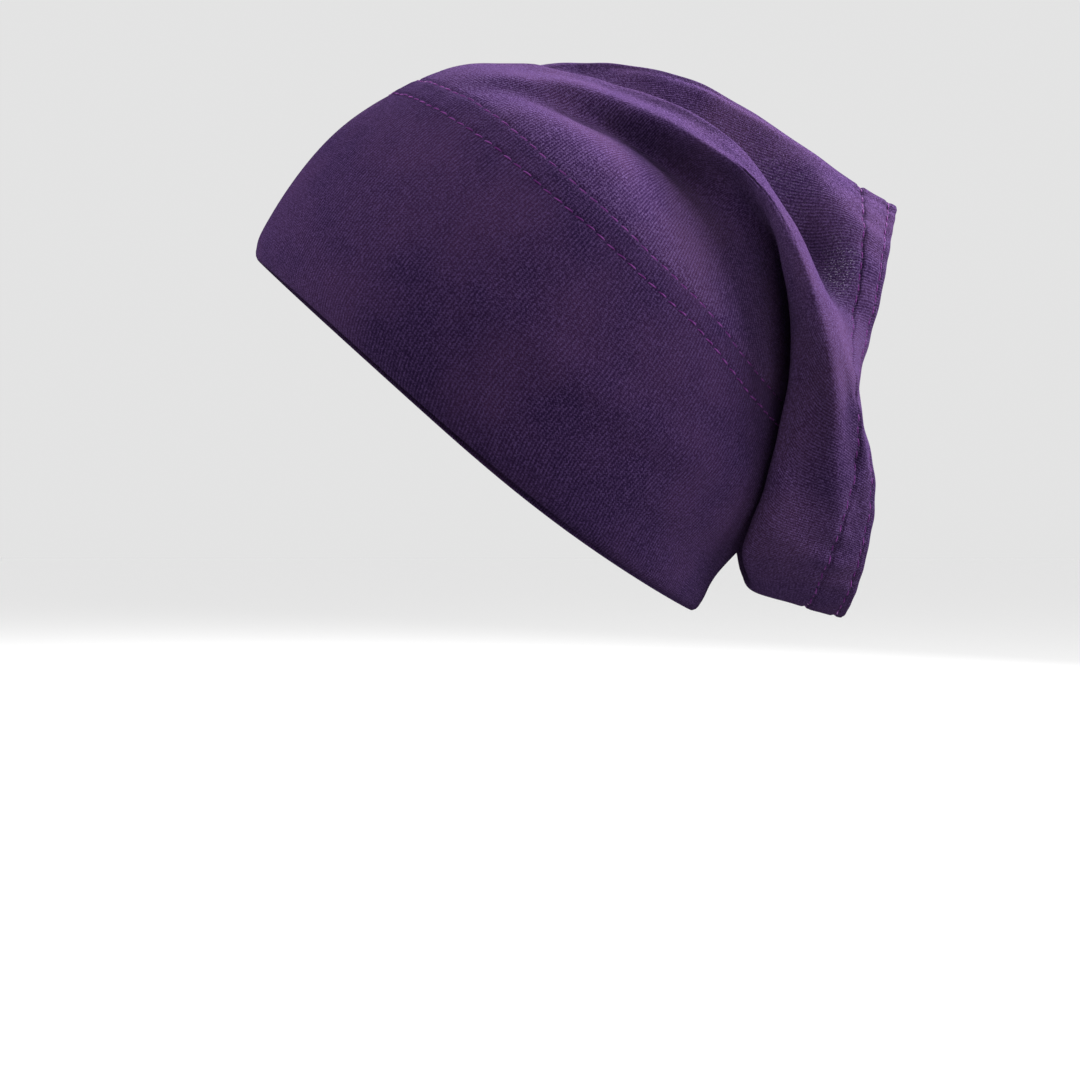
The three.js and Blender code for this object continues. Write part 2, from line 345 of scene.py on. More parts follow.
# %% Their height over the worn form
PULL_WIDTH = 0.9
PUCKER_WIDTH = 5.0
PUCKER_SHIFT = 1.7
FINER_PUCKER = 0.6
FINER_PUCKER_LENGTH = 0.62
STRIP_SOFTNESS = 0.8
ROUND_LENGTH = 480.0


def smooth_step(x, start, end):
    t = np.clip((x - start) / (end - start), 0, 1)
    return t * t * (3 - 2 * t)


def strip_height(along, start, end, high):
    rise = smooth_step(along, start - STRIP_SOFTNESS, start + STRIP_SOFTNESS)
    fall = smooth_step(along, end - STRIP_SOFTNESS, end + STRIP_SOFTNESS)
    return high * (rise - fall)


def sewn_height(along, turn):
    """Height of the laps, and of the pull and pucker that each row of stitches makes."""
    height = strip_height(along, *SEAM_STRIP) + strip_height(along, *HEM_STRIP)
    for k, (at, pull, pucker, ripple) in enumerate(STITCH_ROWS.values()):
        height = height - pull * np.exp(-((along - at) / PULL_WIDTH) ** 2)
        rounds = round(ROUND_LENGTH / ripple)
        wave = np.sin(np.radians(turn) * rounds + PUCKER_SHIFT * k)
        finer_rounds = round(rounds * FINER_PUCKER_LENGTH)
        wave = wave + FINER_PUCKER * np.sin(np.radians(turn) * finer_rounds + k)
        height = height + pucker * wave * np.exp(-((along - at) / PUCKER_WIDTH) ** 2)
    return height


print(f"inner hem row lies at {sewn_height(262.0, 0.0):.2f} mm")

# %% [markdown]
# ## Drag lines and gentle waves
#
# Where cloth is pulled it shows faint straight creases, and nowhere is it quite even. A cloth
# simulation would give such creases by chance. Here each drag line is a row of a table, from
# one place to another, and a few long waves with a fixed seed make the rest uneven, so the
# result is the same each run. The waves close round the tube, so no join shows.

# %% Table of drag lines
DRAG_LINE_COLUMNS = ("along_0", "turn_0", "along_1", "turn_1", "wide", "high")
DRAG_LINES = [
    (36, 84, 41, 122, 9.0, 0.9),
    (20, 118, 30, 150, 8.0, 0.7),
    (52, 108, 66, 140, 8.0, -0.6),
    (12, 62, 22, 84, 7.0, 0.3),
    (99, 8, 126, 22, 3.2, 0.9),
    (104, 80, 124, 88, 5.0, 0.4),
    (236, 118, 258, 124, 5.0, -0.7),
    (240, 136, 259, 140, 5.0, 0.7),
    (238, 60, 262, 66, 5.0, -0.6),
    (150, 10, 205, 12, 5.0, -0.8),
    (190, 20, 250, 22, 5.0, 0.7),
    (120, 318, 150, 300, 6.0, 0.8),
    (215, 262, 256, 256, 7.0, 0.9),
    (222, 230, 258, 226, 6.0, -0.8),
    (40, 268, 70, 262, 9.0, 0.6),
]
tell("drag lines", DRAG_LINE_COLUMNS, DRAG_LINES)

# %% One drag line
LINE_FADE = 1.6


def drag_line(along, turn, row):
    """A soft straight crease between two places, as a bell across it that fades at its ends."""
    along_0, turn_0, along_1, turn_1, wide, high = row
    run = np.array([along_1 - along_0, (turn_1 - turn_0) * CLOTH_PER_DEGREE])
    length = np.hypot(*run)
    offset = along - along_0, (turn - turn_0) * CLOTH_PER_DEGREE
    forward = (offset[0] * run[0] + offset[1] * run[1]) / length
    across = (offset[0] * run[1] - offset[1] * run[0]) / length
    past = np.maximum(np.maximum(-forward, forward - length), 0)
    return high * np.exp(-(across / wide) ** 2 - (past / (LINE_FADE * wide)) ** 2)


print(f"middle of the first drag line {drag_line(38.5, 103.0, DRAG_LINES[0]):.2f} mm high")

# %% Waves, and both together
WAVE_COLUMNS = ("seed", "shortest", "longest", "count")
BROAD_WAVES = (7, 34, 90, 9)
SLACK_WAVES = (11, 14, 34, 10)
BROAD_HEIGHT = 0.22
SLACK_HEIGHT = 0.16
SLACK_FROM = 96
SLACK_FULL = 130
WHOLE_TURN = 6.28


def slow_waves(along, turn, seed, shortest, longest, count):
    """Gentle unevenness: a few long waves that close round the tube."""
    dice = np.random.default_rng(seed)
    total = 0
    for _ in range(count):
        length = dice.uniform(shortest, longest)
        heading = dice.uniform(0, math.pi)
        rounds = max(1, round(ROUND_LENGTH * math.cos(heading) / length))
        lift = 2 * math.pi * along * math.sin(heading) / length
        shift = dice.uniform(0, WHOLE_TURN)
        total = total + np.sin(lift + np.radians(turn) * rounds + shift)
    return total / math.sqrt(count)


def wrinkles(along, turn):
    """Height of the waves and drag lines over the worn form, in millimetres."""
    height = BROAD_HEIGHT * slow_waves(along, turn, *BROAD_WAVES)
    slack = smooth_step(along, SLACK_FROM, SLACK_FULL)
    height = height + slack * SLACK_HEIGHT * slow_waves(along, turn, *SLACK_WAVES)
    for row in DRAG_LINES:
        height = height + drag_line(along, turn, row)
    return height


tell("waves", WAVE_COLUMNS, (BROAD_WAVES, SLACK_WAVES))

# %% [markdown]
# ## Edges and hollows of the big folds
#
# In the photograph the roll has a crisp front edge with a deep shadow on both sides, and the
# flap and hem have shallow hollows. The bells of the main folds are too round for that, and
# narrower ones would thin the whole roll. So each edge or hollow is a curve of places that is
# pushed out or in. It is pushed straight sideways only, because a push along the cloth's own
# normal would move the crease in the side view.

# %% Table of edges and hollows
SOFT_LINE_COLUMNS = ("along", "turn", "wide", "out")
SOFT_LINES = {
    "roll edge": [
        (97, 40, 4.0, 0.3), (104, 42, 5.0, 2.5), (114, 46, 6.5, 4.5), (127, 51, 8.0, 6.0),
        (138, 61, 8.5, 6.5), (147, 74, 8.5, 6.5), (156, 88, 8.5, 6.5), (175, 93, 8.5, 6.0),
        (197, 89, 8.5, 5.5), (220, 87, 8.5, 4.8), (236, 92, 7.5, 4.6), (246, 100, 5.5, 4.4),
        (253, 112, 5.0, 4.0), (259, 123, 4.5, 2.8), (263, 134, 4.0, 0.1)],
    "behind the roll": [
        (132, 29, 8.0, -0.3), (148, 42, 14.0, -5.0), (163, 57, 17.0, -9.5), (184, 65, 17.0, -11.5),
        (207, 63, 16.0, -11.5), (229, 61, 15.0, -9.5), (245, 69, 13.0, -4.5), (259, 80, 9.0, -0.3)],
    "groove floor": [
        (100, 50, 4.0, -0.3), (106, 55, 4.5, -1.8), (116, 61, 5.0, -3.0), (126, 68, 5.0, -4.0),
        (132, 80, 5.5, -4.8), (136, 94, 6.0, -4.8), (136, 106, 7.0, -3.0), (133, 120, 7.0, -0.3)],
    "flap hollow": [
        (240, 102, 4.0, -0.2), (245, 112, 4.5, -1.2), (249, 123, 5.0, -1.2), (253, 136, 5.0, -0.2)],
    "hem hollow": [
        (250, 88, 4.0, -0.3), (256, 98, 4.5, -2.2), (261, 110, 4.5, -2.4), (265, 122, 4.5, -1.4),
        (268, 134, 4.0, -0.2)],
    "flap corner": [
        (244, 142, 5.0, 0.1), (254, 146, 6.0, 0.9), (262, 150, 5.0, 0.1)],
}
for name, rows in SOFT_LINES.items():
    tell(name, SOFT_LINE_COLUMNS, rows)

# %% A push along a curve
LINE_STEPS = 70


def soft_line(along, turn, rows):
    """A crease along a curve of places, pushed out or in as a bell across the curve."""
    rows = np.array(rows, dtype=float)
    knots = np.column_stack([np.arange(len(rows)), rows])
    share = np.linspace(0, len(rows) - 1, LINE_STEPS)
    curve = np.column_stack([through(knots, share, k + 1) for k in range(len(SOFT_LINE_COLUMNS))])
    bell = 0.0
    for at, middle, wide, high in curve:
        away = ((along - at) ** 2 + ((turn - middle) * CLOTH_PER_DEGREE) ** 2) / wide**2
        bell = np.maximum(bell, abs(high) * np.exp(-away))
    return math.copysign(1, rows[:, SOFT_LINE_COLUMNS.index("out")].sum()) * bell


edge_push = soft_line(156.0, 88.0, SOFT_LINES["roll edge"])
print(f"the roll's edge stands out by {edge_push:.1f} mm")

# %% [markdown]
# ## The seam's sag
#
# The seam is sewn even round the tube, but the crown pulls it forward where the band is worn
# tight. Seen from the side, its rows dip towards the front near the top. A second set of
# sections could say so, but it is simpler to slide the cloth along itself near the seam: band,
# tube and stitches slide together, so no gap opens between them.

# %% How far the seam sags
SAG_COLUMNS = ("turn", "forward")
SEAM_SAG = np.array([
    (0, 6.5), (31, 7.5), (48, 8.0), (62, 7.0), (76, 5.5), (88, 2.5), (100, 0.0), (116, -3.0),
    (136, 0.0), (180, 0.0), (250, 0.0), (285, 3.0), (320, 6.0), (360, 6.5)])
SAG_MIDDLE = 89.0
SAG_WIDTH = 18.0


def seam_sag(along, turn):
    """How far the crown pulls the seam forward of an even line round the tube."""
    return through(SEAM_SAG, turn, 1) * np.exp(-((along - SAG_MIDDLE) / SAG_WIDTH) ** 2)


tell("seam sag", SAG_COLUMNS, SEAM_SAG)

# %% [markdown]
# ## The finished cloth
#
# A place on the finished cloth starts on the worn form. It slides by the sag, rises by the
# wrinkles and by what the stitches do, goes in by its depth in the wall, and is pushed
# sideways by the edges and hollows. The rings and the stitches both ask this one function,
# so the stitches always lie on the cloth.

# %% A place on the finished cloth
def dressed_cloth(along, turn, depth=0.0):
    """A place on the finished cloth, some depth in from its outer face, in metres."""
    normal, hemwards = cloth_directions(along, turn)
    sag = seam_sag(along, turn)
    lift = wrinkles(along - sag, turn) + sewn_height(along, turn) - depth
    place = worn_cloth(along, turn) + normal * lift[..., None] - hemwards * sag[..., None]
    for rows in SOFT_LINES.values():
        place[..., 1] -= soft_line(along - sag, turn, rows)
    return place * MM, normal


crown_place, _ = dressed_cloth(np.array([[TOLD_ALONG]]), np.array([[0.0]]))
print("a place on the crown, in metres", crown_place[0, 0].round(4))

# %% [markdown]
# ## The three rings of cloth
#
# Each ring has a wall, because a folded or turned-in edge shows its thickness. Solidify could
# add it, but it makes square rims. Here the ring's profile goes down the outer face, round a
# half circle at the edge, back up the inner face and round the other edge, and is swept
# round the tube. The rows lie closer near the stitches, where the cloth is most uneven.

# %% The profile of a ring
EDGE_STEPS = 5
COARSE_ROW = 1.5
FINE_ROW = 0.55
FINE_REACH = 2.2
SHORTEST_ROW = 0.3
DIP_START = 0.6
DIP_END = 2.2


def rows_between(start, end):
    """Places along the tube, closer together near a row of stitches."""
    rows = [start]
    while rows[-1] < end:
        nearest = min(abs(rows[-1] - row[0]) for row in STITCH_ROWS.values())
        rows.append(rows[-1] + (FINE_ROW if nearest < FINE_REACH else COARSE_ROW))
    rows = np.array(rows[:-1])
    if end - rows[-1] < SHORTEST_ROW:
        rows = rows[:-1]
    return np.append(rows, end)


def ring_profile(start, end, wall, start_depth=0.0):
    """Along and depth of each row of the closed profile. The start may dip under its neighbour."""
    radius = wall / 2
    faces = rows_between(start + radius, end - radius)
    dip = start_depth * (1 - smooth_step(faces, start + DIP_START, start + DIP_END))
    bend = np.radians(np.linspace(90, -90, EDGE_STEPS + 2)[1:-1])
    back_edge = end - radius + radius * np.cos(bend), radius - radius * np.sin(bend)
    front_edge = start + radius - radius * np.cos(bend), radius + radius * np.sin(bend)
    along = np.concatenate([faces, back_edge[0], faces[::-1], front_edge[0]])
    depth = np.concatenate([dip, back_edge[1], dip[::-1] + wall, front_edge[1] + start_depth])
    return along, depth


print("rows from front edge to seam", len(rows_between(0.0, STITCH_ROWS["seam_front"][0])))

# %% [markdown]
# ## Painted light where the knit is pulled open
#
# At the back of the flap the slack cloth hangs in one stretched layer with light behind it,
# and the photograph shows pale specks where light comes through its loops. Real holes would
# take millions of faces. So each ring carries a number at every point, from 0 to 1, that says
# how open the knit is, and the jersey finish paints that much light into the colour as pale
# specks: painted light, not holes.

# %% Table of places with painted light through the knit
PAINTED_LIGHT_PLACE_COLUMNS = ("along", "turn", "long", "round", "share")
PAINTED_LIGHT_PLACES = [(250, 55, 8, 7, 0.8), (218, 36, 32, 12, 0.12)]


def painted_light_through_knit(along, turn):
    """How far the loops of the knit are pulled apart at a place, from 0 to 1: the share of painted light
    there.
    """
    total = 0.0
    for at, middle, long, wide, share in PAINTED_LIGHT_PLACES:
        away = ((along - at) / long) ** 2 + ((turn - middle) * CLOTH_PER_DEGREE / wide) ** 2
        total = total + share * np.exp(-away)
    return total


tell("open places", PAINTED_LIGHT_PLACE_COLUMNS, PAINTED_LIGHT_PLACES)

# %% Sweep a profile round the tube
ROUND_STEPS = 330
UNDERSIDE = 180.0


def make_ring(name, start, end, wall, start_depth=0.0):
    """One ring of cloth, with its own lengths as a UV map that starts at the underside."""
    along, depth = ring_profile(start, end, wall, start_depth)
    turn = (np.arange(ROUND_STEPS) * 360.0 / ROUND_STEPS + UNDERSIDE) % 360
    points, _ = dressed_cloth(along[:, None], turn[None, :], depth[:, None])
    rows = len(along)
    i, j = np.meshgrid(np.arange(rows), np.arange(ROUND_STEPS), indexing="ij")
    i_next = (i + 1) % rows
    j_next = (j + 1) % ROUND_STEPS
    corners = np.stack([i * ROUND_STEPS + j, i * ROUND_STEPS + j_next,
                        i_next * ROUND_STEPS + j_next, i_next * ROUND_STEPS + j], axis=-1)
    mesh = bpy.data.meshes.new(name)
    mesh.from_pydata(points.reshape(-1, 3).tolist(), [], corners.reshape(-1, 4).tolist())
    u = np.stack([j, j + 1, j + 1, j], axis=-1) * ROUND_LENGTH * MM / ROUND_STEPS
    v = np.stack([along[i], along[i], along[i_next], along[i_next]], axis=-1) * MM
    layer = mesh.uv_layers.new(name="cloth")
    layer.data.foreach_set("uv", np.stack([u, v], axis=-1).ravel())
    # Each point's share of painted light through the open knit.
    painted_light_layer = mesh.attributes.new("painted_light_through_knit", "FLOAT", "POINT")
    painted_light_layer.data.foreach_set("value", painted_light_through_knit(along[:, None], turn[None, :]).ravel())
    mesh.shade_smooth()
    ring = bpy.data.objects.new(name, mesh)
    bpy.context.collection.objects.link(ring)
    print(name, "faces", len(mesh.polygons))
    return ring


print("steps round a ring", ROUND_STEPS)

# %% [markdown]
# The band is two layers of jersey folded at the front edge, so its wall is 2 mm. The tube is
# one soft layer of 1.2 mm, and its start slips just under the band, as a lapped seam does.
# The hem is turned in once and stitched twice, so it is as thick as the band.

# %% Band, tube and hem
BAND_WALL = 2.0
TUBE_WALL = 1.2
HEM_WALL = 2.0

band = make_ring("band_cloth", 0.0, 94.9, BAND_WALL)
tube = make_ring("tube_cloth", 93.6, 262.6, TUBE_WALL, start_depth=0.45)
hem = make_ring("hem_cloth", 261.2, TUBE_LENGTH, HEM_WALL, start_depth=0.35)

# %% [markdown]
# ## One stitch
#
# Each row is a line of short straight stitches, about six to the inch. On the real thing one
# thread runs over and under the cloth, and only the part above is seen. A curve with dashes
# could stand for it. Instead one stitch is modelled as a bead of thread with its ends pulled
# down into the cloth: a small sphere is stretched, and its ends are pushed down in two steps.

# %% One stitch, modelled once
STITCH_LENGTH = 3.8 * MM
THREAD_RADIUS = 0.25 * MM
THREAD_SPREAD = 1.15
STITCH_SEGMENTS = 8
END_COLUMNS = ("reach", "drop")
STITCH_ENDS = ((0.6, 0.5), (0.9, 0.8))


def select_where(mesh_object, test):
    """Select the vertices that pass a test on their place, in edit mode."""
    bpy.ops.object.mode_set(mode="EDIT")
    bpy.ops.mesh.select_mode(type="VERT")
    bpy.ops.mesh.select_all(action="DESELECT")
    bpy.ops.object.mode_set(mode="OBJECT")
    for vertex in mesh_object.data.vertices:
        vertex.select = test(vertex.co)
    bpy.ops.object.mode_set(mode="EDIT")


bpy.ops.mesh.primitive_uv_sphere_add(segments=STITCH_SEGMENTS, ring_count=STITCH_SEGMENTS, radius=1.0,
                                     rotation=(0, math.pi / 2, 0))
stitch = bpy.context.object
stitch.name = "stitch"
bpy.ops.object.transform_apply(rotation=True)
stitch.scale = (STITCH_LENGTH / 2, THREAD_RADIUS * THREAD_SPREAD, THREAD_RADIUS)
bpy.ops.object.transform_apply(scale=True)
for reach, drop in STITCH_ENDS:
    select_where(stitch, lambda co: abs(co.x) > reach * STITCH_LENGTH / 2)
    bpy.ops.transform.translate(value=(0, 0, -drop * THREAD_RADIUS))
    bpy.ops.object.mode_set(mode="OBJECT")
bpy.ops.object.shade_smooth()
tell("stitch ends", END_COLUMNS, STITCH_ENDS)
print("one stitch", len(stitch.data.polygons), "faces")

# %% [markdown]
# ## A row of stitches
#
# A row is measured along the finished cloth and shared out into whole stitches. Each one
# gets a frame of its own: its run along the row, its lift out of the cloth, and its side.
# An array on a curve could repeat the stitch, but it would bend each copy and tilt it off the
# cloth. A real lockstitch lies a little slanted, so each copy is turned by 7 degrees.

# %% A frame for each stitch
STITCH_PITCH = 4.4 * MM
ROW_SAMPLES = 1440


def stitch_places(along, depth, facing):
    """A frame for each stitch of a row: its middle, and its run, side and lift directions."""
    turn = np.linspace(0, 360, ROW_SAMPLES + 1)
    points, normals = dressed_cloth(np.array([[along]]), turn[None, :] % 360, np.array([[depth]]))
    points = points[0]
    normals = normals[0] * facing
    walked = np.concatenate([[0], np.cumsum(np.linalg.norm(np.diff(points, axis=0), axis=-1))])
    count = round(walked[-1] / STITCH_PITCH)
    places = []
    for k in range(count):
        middle = (k + 0.5) * walked[-1] / count
        ends = [np.array([np.interp(middle + step, walked, points[:, axis]) for axis in range(3)])
                for step in (-STITCH_LENGTH / 2, 0, STITCH_LENGTH / 2)]
        lift = np.array([np.interp(middle, walked, normals[:, axis]) for axis in range(3)])
        run = ends[2] - ends[0]
        run = run / np.linalg.norm(run)
        lift = lift - run * (lift @ run)
        lift = lift / np.linalg.norm(lift)
        places.append((ends[1], run, np.cross(lift, run), lift))
    return places


told_row = stitch_places(STITCH_ROWS["seam_front"][0], 0.0, 1)
print("stitches in the front seam row", len(told_row))

# %% Copy the stitch along its rows
STITCH_SLANT = math.radians(7)


def sew(name, rows):
    """Copy the stitch along several rows and join the copies into one piece."""
    copies = []
    for along, depth, facing, stand in rows:
        for middle, run, side, lift in stitch_places(along, depth, facing):
            mesh = stitch.data.copy()
            slanted = run * math.cos(STITCH_SLANT) + side * math.sin(STITCH_SLANT)
            place = Matrix((slanted, np.cross(lift, slanted), lift)).transposed().to_4x4()
            place.translation = Vector(middle + lift * THREAD_RADIUS * stand)
            mesh.transform(place)
            copy = bpy.data.objects.new(name, mesh)
            bpy.context.collection.objects.link(copy)
            copies.append(copy)
    bpy.ops.object.select_all(action="DESELECT")
    for copy in copies:
        copy.select_set(True)
    bpy.context.view_layer.objects.active = copies[0]
    bpy.ops.object.join()
    thread = bpy.context.object
    thread.name = name
    bpy.ops.object.select_all(action="DESELECT")
    print(name, "stitches", len(copies), "faces", len(thread.data.polygons))
    return thread


print(f"slant {math.degrees(STITCH_SLANT):.0f} degrees")

# %% [markdown]
# The rows show on the outside and on the inside. Where the needle thread is tight it sinks
# into the cloth, and where it is slack it stands proud, so each row says how far its stitches
# stand, as a share of the thread's radius.

# %% Sew the seam and the hem
OUTSIDE = 1
INSIDE = -1
PROUD = 0.6
SUNK = 0.1
ROW_AT = {name: row[0] for name, row in STITCH_ROWS.items()}
seam_thread = sew("seam_thread", [
    (ROW_AT["seam_front"], 0.0, OUTSIDE, PROUD), (ROW_AT["seam_back"], 0.0, OUTSIDE, SUNK),
    (ROW_AT["seam_front"], BAND_WALL, INSIDE, PROUD), (ROW_AT["seam_back"], BAND_WALL, INSIDE, PROUD)])
hem_thread = sew("hem_thread", [
    (ROW_AT["hem_inner"], 0.0, OUTSIDE, SUNK), (ROW_AT["hem_outer"], 0.0, OUTSIDE, PROUD),
    (ROW_AT["hem_inner"], HEM_WALL, INSIDE, PROUD), (ROW_AT["hem_outer"], HEM_WALL, INSIDE, PROUD)])
bpy.data.objects.remove(stitch, do_unlink=True)

# %% [markdown]
# ## Helpers for the finishes
#
# A colour is given as an sRGB hex value, and the shader wants linear light, so one
# function turns it. Another adds a node with its settings, its values and what feeds it.

# %% Linear colours
def linear(hex_colour):
    """An sRGB hex colour as linear RGBA."""
    channels = [int(hex_colour[k:k + 2], 16) / 255 for k in (1, 3, 5)]
    light = [c / 12.92 if c <= 0.04045 else ((c + 0.055) / 1.055) ** 2.4 for c in channels]
    return (*light, 1.0)


print("middle grey in linear light", round(linear("#808080")[0], 3))

# %% Nodes and materials
def add_node(tree, kind, values=None, links=None, **settings):
    """Add one node: its own settings, the values of its sockets, and what feeds them."""
    made = tree.nodes.new(kind)
    for key, value in settings.items():
        setattr(made, key, value)
    for key, value in (values or {}).items():
        made.inputs[key].default_value = value
    for key, source in (links or {}).items():
        tree.links.new(source, made.inputs[key])
    return made


def new_material(name):
    material = bpy.data.materials.new(name)
    material.use_nodes = True
    tree = material.node_tree
    tree.nodes.clear()
    shader = add_node(tree, "ShaderNodeBsdfPrincipled")
    add_node(tree, "ShaderNodeOutputMaterial", links={"Surface": shader.outputs["BSDF"]})
    return material, tree, shader


print("materials so far", len(bpy.data.materials))

# %% [markdown]
# ## The knit of cotton jersey
#
# Single jersey is knitted: columns of small V shapes, the wales, run along the tube. The Vs
# could be modelled as yarn, but there are tens of thousands of them. Here two waves over the
# cloth's UV map make a height instead: one for the columns, and one for the loops, which lean
# left and right by turns and so draw the Vs. The real wales stand about 0.6 mm apart, which is
# under two pixels here, so they are drawn 0.95 mm apart, and the rows of Vs 0.8 mm.

# %% The height of the knit
WALE = 0.95 * MM
COURSE = 0.80 * MM
HALF_WALE = 0.5
LOOP_SHARE = 0.6


def knit_height(tree):
    """Leaning loops in columns, as a height from about -1.6 to 1.6."""
    cloth = add_node(tree, "ShaderNodeUVMap", uv_map="cloth")
    parts = add_node(tree, "ShaderNodeSeparateXYZ", links={"Vector": cloth.outputs["UV"]})
    wales = add_node(tree, "ShaderNodeMath", {1: WALE}, {0: parts.outputs["X"]}, operation="DIVIDE")
    slant = add_node(tree, "ShaderNodeMath", {1: HALF_WALE}, {0: wales.outputs[0]},
                     operation="PINGPONG")
    courses = add_node(tree, "ShaderNodeMath", {1: COURSE}, {0: parts.outputs["Y"]}, operation="DIVIDE")
    leaning = add_node(tree, "ShaderNodeMath", links={0: courses.outputs[0], 1: slant.outputs[0]},
                       operation="ADD")
    loops_turn = add_node(tree, "ShaderNodeMath", {1: 2 * math.pi}, {0: leaning.outputs[0]},
                          operation="MULTIPLY")
    loops = add_node(tree, "ShaderNodeMath", links={0: loops_turn.outputs[0]}, operation="SINE")
    columns_turn = add_node(tree, "ShaderNodeMath", {1: 2 * math.pi}, {0: wales.outputs[0]},
                            operation="MULTIPLY")
    columns = add_node(tree, "ShaderNodeMath", links={0: columns_turn.outputs[0]}, operation="COSINE")
    knit = add_node(tree, "ShaderNodeMath", {1: LOOP_SHARE}, {0: loops.outputs[0], 2: columns.outputs[0]},
                    operation="MULTIPLY_ADD")
    return knit.outputs[0]


print(f"knit drawn {WALE / MM:.2f} by {COURSE / MM:.2f} mm")

# %% [markdown]
# ## Fibres, dye, and painted light through open loops
#
# Cotton yarn is hairy: short fibres stand up from it and hide the knit in flecks. The cloth
# is dyed in the piece, so it has one colour with faint cloudy patches, and the fibres' tips
# are paler. One fine noise stands for the fibres, a wide one for the patches, and a third
# places pale specks of painted light where the knit is pulled open.

# %% Fibres over the knit
FLECK_SIZE = 0.7 * MM
FIBRE_SHARE = 14.0


def fibre_height(tree, place, knit):
    """Short fibres over the knit, as a height from about 5 to 10."""
    fuzz = add_node(tree, "ShaderNodeTexNoise", {"Scale": 1 / FLECK_SIZE, "Detail": 4.0, "Roughness": 0.7},
                    {"Vector": place})
    height = add_node(tree, "ShaderNodeMath", {1: FIBRE_SHARE}, {0: fuzz.outputs["Fac"], 2: knit},
                      operation="MULTIPLY_ADD")
    return height.outputs[0]


print(f"flecks {FLECK_SIZE / MM:.1f} mm")

# %% Cloudy dye and pale tips
PATCH_SIZE = 42 * MM
PATCH_FROM = 0.40
PATCH_TO = 0.64
TIPS_FROM = 6.0
TIPS_TO = 10.2


def dyed_colour(tree, place, height, deep, warm, pale):
    """Patches of two dye colours, with a third on the tips of the fibres."""
    clouds = add_node(tree, "ShaderNodeTexNoise",
                      {"Scale": 1 / PATCH_SIZE, "Detail": 3.0, "Roughness": 0.55}, {"Vector": place})
    patches = add_node(tree, "ShaderNodeMapRange", {"From Min": PATCH_FROM, "From Max": PATCH_TO},
                       {"Value": clouds.outputs["Fac"]})
    dye = add_node(tree, "ShaderNodeMix", {6: linear(deep), 7: linear(warm)},
                   {0: patches.outputs["Result"]}, data_type="RGBA")
    tips = add_node(tree, "ShaderNodeMapRange", {"From Min": TIPS_FROM, "From Max": TIPS_TO},
                    {"Value": height})
    tipped = add_node(tree, "ShaderNodeMix", {7: linear(pale)},
                      {0: tips.outputs["Result"], 6: dye.outputs[2]}, data_type="RGBA")
    return tipped.outputs[2]


print(f"dye patches {PATCH_SIZE / MM:.0f} mm")

# %% Specks of painted light through open loops
OPENING_SIZE = 0.5 * MM
OPENING_FROM = 0.58
OPENING_TO = 0.70
# Colour of the painted light that shows through the open loops.
PAINTED_LIGHT_SPECK_COLOUR = "#a99fba"


def colour_with_painted_light(tree, place, colour):
    """The cloth's colour, with pale specks of painted light where the ring's attribute for it isn't 0."""
    gaps = add_node(tree, "ShaderNodeTexNoise", {"Scale": 1 / OPENING_SIZE, "Detail": 2.0},
                    {"Vector": place})
    openings = add_node(tree, "ShaderNodeMapRange", {"From Min": OPENING_FROM, "From Max": OPENING_TO},
                        {"Value": gaps.outputs["Fac"]})
    # Where the knit lets light through, pale specks of painted light go into the base colour.
    painted_light_share = add_node(tree, "ShaderNodeAttribute", attribute_name="painted_light_through_knit")
    seen = add_node(tree, "ShaderNodeMath",
                    links={0: openings.outputs["Result"], 1: painted_light_share.outputs["Fac"]},
                    operation="MULTIPLY")
    specked = add_node(tree, "ShaderNodeMix", {7: linear(PAINTED_LIGHT_SPECK_COLOUR)}, {0: seen.outputs[0], 6: colour},
                       data_type="RGBA")
    return specked.outputs[2]


print(f"openings {OPENING_SIZE / MM:.1f} mm")

# %% [markdown]
# ## The jersey finish
#
# Brushed cotton has no gloss: its roughness is high and its specular level is 0, because even
# a weak gloss drew a grey rim round the rolls. Its fibres catch grazing light as a soft haze
# instead, which is the shader's sheen. The band is two tight layers, so it is the deepest in
# colour, and the slack tube and hem are a little lighter.

# %% Jersey on the three rings
KNIT_DEPTH = 0.16 * MM
BUMP_STRENGTH = 0.80
COTTON_ROUGHNESS = 0.88
HAZE_ROUGHNESS = 0.42
HAZE_TINT = "#c4a2e0"


def jersey(name, deep, warm, pale, haze):
    """A knitted jersey: deep and warm are its cloudy dye colours and pale its lifted fibres."""
    material, tree, shader = new_material(name)
    place = add_node(tree, "ShaderNodeTexCoord").outputs["Object"]
    height = fibre_height(tree, place, knit_height(tree))
    bump = add_node(tree, "ShaderNodeBump", {"Strength": BUMP_STRENGTH, "Distance": KNIT_DEPTH / 2},
                    {"Height": height})
    dyed = dyed_colour(tree, place, height, deep, warm, pale)
    tree.links.new(colour_with_painted_light(tree, place, dyed), shader.inputs["Base Color"])
    tree.links.new(bump.outputs["Normal"], shader.inputs["Normal"])
    shader.inputs["Roughness"].default_value = COTTON_ROUGHNESS
    shader.inputs["Specular IOR Level"].default_value = 0.0
    shader.inputs["Sheen Weight"].default_value = haze
    shader.inputs["Sheen Roughness"].default_value = HAZE_ROUGHNESS
    shader.inputs["Sheen Tint"].default_value = linear(HAZE_TINT)
    return material


band_jersey = jersey("cotton_jersey_doubled", deep="#1b0f28", warm="#2a1932", pale="#3e2d50", haze=0.05)
tube_jersey = jersey("cotton_jersey_single", deep="#221330", warm="#2f1d35", pale="#503c64", haze=0.06)
for ring, finish in ((band, band_jersey), (tube, tube_jersey), (hem, tube_jersey)):
    ring.data.materials.append(finish)
print("finishes", band_jersey.name, tube_jersey.name)
